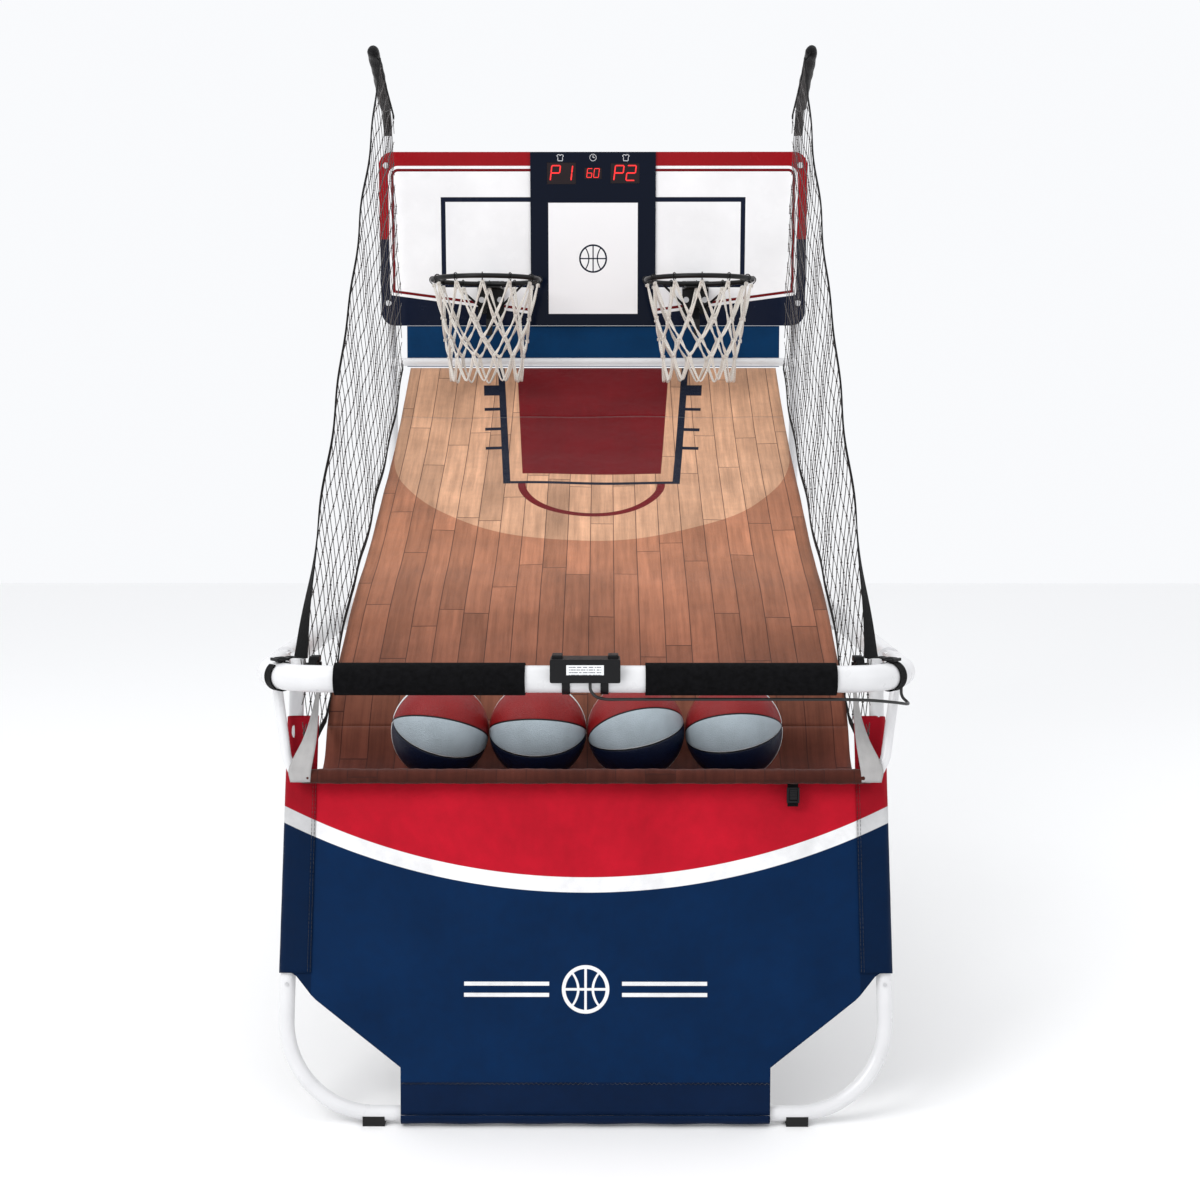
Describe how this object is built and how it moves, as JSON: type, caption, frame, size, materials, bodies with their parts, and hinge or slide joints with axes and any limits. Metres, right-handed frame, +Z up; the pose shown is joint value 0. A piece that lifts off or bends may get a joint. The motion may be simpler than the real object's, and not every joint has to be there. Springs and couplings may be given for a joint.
{
  "type": "basketball hoop machine",
  "caption": "Folding arcade basketball game for two players, with a cloth ball-return court, side nets, score display, netted hoops and balls on a tube frame.",
  "frame": {"origin": "floor level, middle of the footprint", "axes": "+X to the players' right, -Y towards the players, +Z up"},
  "size_m": [1.1, 2.0448, 2.0571],
  "materials": {
    "white_tube": "satin",
    "black_steel": "satin",
    "zinc": "satin",
    "black_plastic": "matte",
    "gloss_panel": "gloss",
    "printed_board": "satin",
    "display": "gloss",
    "foam": "matte",
    "rubber": "matte",
    "court_cloth": "matte",
    "panel_cloth": "matte",
    "back_cloth": "matte",
    "mesh_cloth": "matte",
    "webbing": "matte",
    "net_cord": "matte",
    "ball_skin": "satin",
    "circuit": "satin",
    "cable": "satin",
    "sleeve_cloth": "matte"
  },
  "bodies": {
    "rear_frame": {"uprights": "white_tube", "rear_foot_tube": "white_tube", "rear_feet": "rubber", "rear_hinge_brackets": "black_steel", "rear_hinge_pins": "zinc", "court_crossbar": "white_tube", "net_poles": "black_steel", "pole_sleeves": "sleeve_cloth", "backboard": "printed_board", "board_bolts": "zinc", "board_brackets": "black_steel", "board_rails": "white_tube", "score_panel": "gloss_panel", "score_displays": "display", "score_case": "black_plastic", "circuit_board": "circuit", "speaker": "black_plastic", "rim_brackets": "black_steel", "hoop_rim_left": "black_steel", "hoop_rim_right": "black_steel", "hoop_net_left": "net_cord", "hoop_net_right": "net_cord", "court_mid": "court_cloth", "court_rear": "court_cloth", "back_panel": "back_cloth", "net_mid_left": "mesh_cloth", "net_mid_right": "mesh_cloth", "net_rear_left": "mesh_cloth", "net_rear_right": "mesh_cloth", "cable_rear": "cable"},
    "rear_side_rails": {"rear_rails": "white_tube"},
    "front_side_rails": {"front_rails": "white_tube", "centre_hinge_pins": "zinc"},
    "front_stand": {"front_bar": "white_tube", "legs": "white_tube", "front_foot_tube": "white_tube", "front_feet": "rubber", "leg_knobs": "black_plastic", "front_hinge_pins": "zinc", "drop_tube": "white_tube", "front_panel": "panel_cloth", "control_box": "black_plastic", "control_board": "circuit", "control_clips": "black_plastic", "cable_front": "cable", "grip_left": "foam", "grip_right": "foam", "court_tray": "court_cloth", "net_front_left": "mesh_cloth", "net_front_right": "mesh_cloth", "webbing_straps": "webbing"},
    "snap_pins": {"snap_buttons": "zinc"},
    "button_left": {"button_left": "black_plastic"},
    "button_right": {"button_right": "black_plastic"},
    "score_paddle_left": {"score_paddle_left": "black_plastic"},
    "score_paddle_right": {"score_paddle_right": "black_plastic"},
    "ball_1": {"ball_1": "ball_skin"},
    "ball_2": {"ball_2": "ball_skin"},
    "ball_3": {"ball_3": "ball_skin"},
    "ball_4": {"ball_4": "ball_skin"}
  },
  "joints": [
    {"name": "rail_fold", "type": "hinge", "parent": "rear_frame", "child": "rear_side_rails", "pos_m": [0, 0.9185, 0.729], "axis": [-1, 0, 0], "range_deg": [0, 72], "deforming": ["court_mid", "net_mid_left", "net_mid_right"]},
    {"name": "centre_fold", "type": "hinge", "parent": "rear_side_rails", "child": "front_side_rails", "pos_m": [0, 0.081, 0.697], "axis": [1, 0, 0], "range_deg": [0, 144]},
    {"name": "stand_pivot", "type": "hinge", "parent": "front_side_rails", "child": "front_stand", "pos_m": [0, -0.7565, 0.729], "axis": [-1, 0, 0], "range_deg": [0, 72]},
    {"name": "snap_press", "type": "slide", "parent": "front_stand", "child": "snap_pins", "axis": [0, 0.9632, -0.2689], "range_m": [0, 0.003], "stiffness_N_per_m": 1200, "springref_m": -0.002},
    {"name": "button_left_press", "type": "slide", "parent": "front_stand", "child": "button_left", "axis": [0, 0, -1], "range_m": [0, 0.003], "stiffness_N_per_m": 400, "springref_m": -0.001},
    {"name": "button_right_press", "type": "slide", "parent": "front_stand", "child": "button_right", "axis": [0, 0, -1], "range_m": [0, 0.003], "stiffness_N_per_m": 400, "springref_m": -0.001},
    {"name": "score_paddle_left_swing", "type": "hinge", "parent": "rear_frame", "child": "score_paddle_left", "pos_m": [-0.265, 0.8457, 1.434], "axis": [1, 0, 0], "range_deg": [0, 20], "stiffness_Nm_per_rad": 0.08, "springref_deg": -20.05},
    {"name": "score_paddle_right_swing", "type": "hinge", "parent": "rear_frame", "child": "score_paddle_right", "pos_m": [0.265, 0.8457, 1.434], "axis": [1, 0, 0], "range_deg": [0, 20], "stiffness_Nm_per_rad": 0.08, "springref_deg": -20.05},
    {"name": "ball_1_lift", "type": "slide", "parent": "front_stand", "child": "ball_1", "axis": [0, 0, 1], "range_m": [0, 0.4]},
    {"name": "ball_2_lift", "type": "slide", "parent": "front_stand", "child": "ball_2", "axis": [0, 0, 1], "range_m": [0, 0.4]},
    {"name": "ball_3_lift", "type": "slide", "parent": "front_stand", "child": "ball_3", "axis": [0, 0, 1], "range_m": [0, 0.4]},
    {"name": "ball_4_lift", "type": "slide", "parent": "front_stand", "child": "ball_4", "axis": [0, 0, 1], "range_m": [0, 0.4]}
  ],
  "couplings": [
    {"joint": "centre_fold", "follows": "rail_fold", "ratio": 2},
    {"joint": "stand_pivot", "follows": "rail_fold", "ratio": 1}
  ]
}
